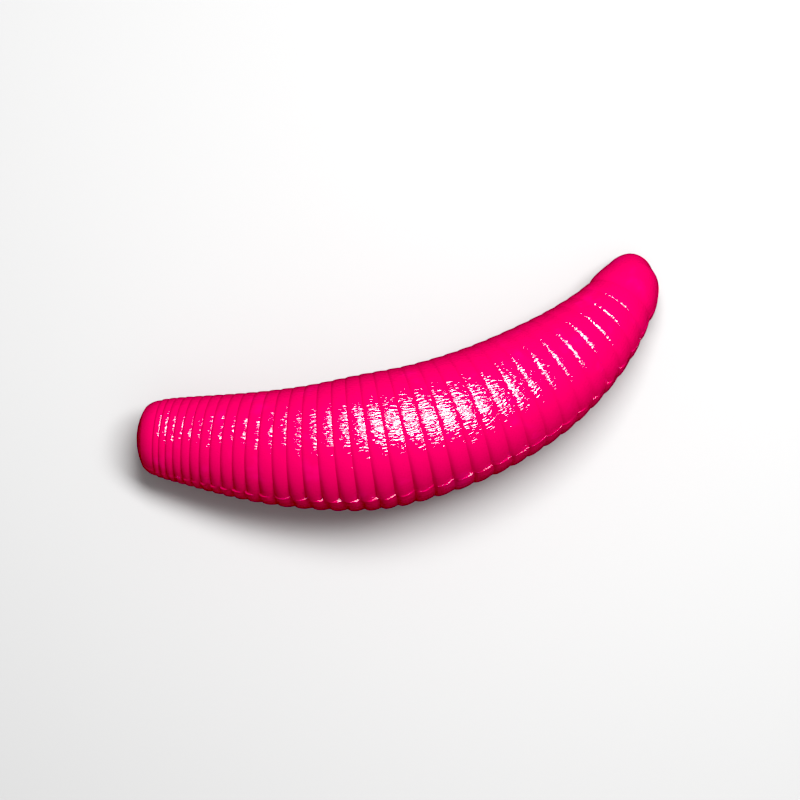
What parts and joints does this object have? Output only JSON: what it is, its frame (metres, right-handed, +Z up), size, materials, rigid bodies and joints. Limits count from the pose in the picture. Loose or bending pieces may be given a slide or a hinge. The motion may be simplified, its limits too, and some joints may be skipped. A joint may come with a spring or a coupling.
{
  "type": "soft plastic worm",
  "caption": "Curved, ringed soft plastic grub for trout, moulded in one piece; its ring bands flex against each other so the body curls and lifts.",
  "frame": {"origin": "on the surface the grub lies on, under the middle of its box", "axes": "+X from the rear end to the head, +Y towards the hollow side of the curve, +Z up"},
  "size_m": [0.0322, 0.011, 0.0077],
  "materials": {
    "soft_plastisol": "glossy fluorescent pink soft plastic"
  },
  "bodies": {
    "rear_end": {"rear_end": "soft_plastisol"},
    "ring_band_01": {"ring_band_01": "soft_plastisol"},
    "ring_band_02": {"ring_band_02": "soft_plastisol"},
    "ring_band_03": {"ring_band_03": "soft_plastisol"},
    "ring_band_04": {"ring_band_04": "soft_plastisol"},
    "ring_band_05": {"ring_band_05": "soft_plastisol"},
    "ring_band_06": {"ring_band_06": "soft_plastisol"},
    "ring_band_07": {"ring_band_07": "soft_plastisol"},
    "ring_band_08": {"ring_band_08": "soft_plastisol"},
    "ring_band_09": {"ring_band_09": "soft_plastisol"},
    "ring_band_10": {"ring_band_10": "soft_plastisol"},
    "ring_band_11": {"ring_band_11": "soft_plastisol"},
    "ring_band_12": {"ring_band_12": "soft_plastisol"},
    "ring_band_13": {"ring_band_13": "soft_plastisol"},
    "head_end": {"head_end": "soft_plastisol"}
  },
  "joints": [
    {"name": "curl_01", "type": "hinge", "parent": "ring_band_01", "child": "rear_end", "pos_m": [-0.01364, 0.00289, 0.00221], "axis": [-0.0271, -0.3989, -0.9166], "range_deg": [-12, 12], "stiffness_Nm_per_rad": 0.000986},
    {"name": "lift_02", "type": "hinge", "parent": "ring_band_02", "child": "ring_band_01", "pos_m": [-0.01176, 0.00194, 0.00257], "axis": [0.4727, 0.8028, -0.3634], "range_deg": [-12, 12], "stiffness_Nm_per_rad": 0.001655},
    {"name": "curl_03", "type": "hinge", "parent": "ring_band_03", "child": "ring_band_02", "pos_m": [-0.00986, 0.00101, 0.00292], "axis": [-0.0271, -0.3989, -0.9166], "range_deg": [-12, 12], "stiffness_Nm_per_rad": 0.002546},
    {"name": "lift_04", "type": "hinge", "parent": "ring_band_04", "child": "ring_band_03", "pos_m": [-0.00791, 0.00017, 0.00323], "axis": [0.3879, 0.8409, -0.3775], "range_deg": [-12, 12], "stiffness_Nm_per_rad": 0.003679},
    {"name": "curl_05", "type": "hinge", "parent": "ring_band_05", "child": "ring_band_04", "pos_m": [-0.00591, -0.00054, 0.00348], "axis": [-0.0271, -0.3989, -0.9166], "range_deg": [-12, 12], "stiffness_Nm_per_rad": 0.00499},
    {"name": "lift_06", "type": "hinge", "parent": "ring_band_06", "child": "ring_band_05", "pos_m": [-0.00385, -0.0011, 0.00366], "axis": [0.229, 0.8901, -0.3942], "range_deg": [-12, 12], "stiffness_Nm_per_rad": 0.006256},
    {"name": "curl_07", "type": "hinge", "parent": "ring_band_06", "child": "ring_band_07", "pos_m": [-0.00175, -0.00148, 0.00376], "axis": [0.0271, 0.3989, 0.9166], "range_deg": [-12, 12], "stiffness_Nm_per_rad": 0.006437},
    {"name": "lift_08", "type": "hinge", "parent": "ring_band_07", "child": "ring_band_08", "pos_m": [0.00038, -0.00168, 0.00379], "axis": [-0.0418, -0.9157, 0.3998], "range_deg": [-12, 12], "stiffness_Nm_per_rad": 0.005939},
    {"name": "curl_09", "type": "hinge", "parent": "ring_band_08", "child": "ring_band_09", "pos_m": [0.00252, -0.00169, 0.00373], "axis": [0.0271, 0.3989, 0.9166], "range_deg": [-12, 12], "stiffness_Nm_per_rad": 0.005366},
    {"name": "lift_10", "type": "hinge", "parent": "ring_band_09", "child": "ring_band_10", "pos_m": [0.00465, -0.00152, 0.00359], "axis": [0.1493, -0.9082, 0.3909], "range_deg": [-12, 12], "stiffness_Nm_per_rad": 0.004582},
    {"name": "curl_11", "type": "hinge", "parent": "ring_band_10", "child": "ring_band_11", "pos_m": [0.00675, -0.00115, 0.00337], "axis": [0.0271, 0.3989, 0.9166], "range_deg": [-12, 12], "stiffness_Nm_per_rad": 0.003697},
    {"name": "lift_12", "type": "hinge", "parent": "ring_band_11", "child": "ring_band_12", "pos_m": [0.0088, -0.00059, 0.00306], "axis": [0.3491, -0.863, 0.3653], "range_deg": [-12, 12], "stiffness_Nm_per_rad": 0.002612},
    {"name": "curl_13", "type": "hinge", "parent": "ring_band_12", "child": "ring_band_13", "pos_m": [0.01075, 0.00018, 0.00267], "axis": [0.0271, 0.3989, 0.9166], "range_deg": [-12, 12], "stiffness_Nm_per_rad": 0.001587},
    {"name": "lift_14", "type": "hinge", "parent": "ring_band_13", "child": "head_end", "pos_m": [0.01258, 0.00119, 0.00218], "axis": [0.5837, -0.7507, 0.3095], "range_deg": [-12, 12], "stiffness_Nm_per_rad": 0.00081}
  ]
}
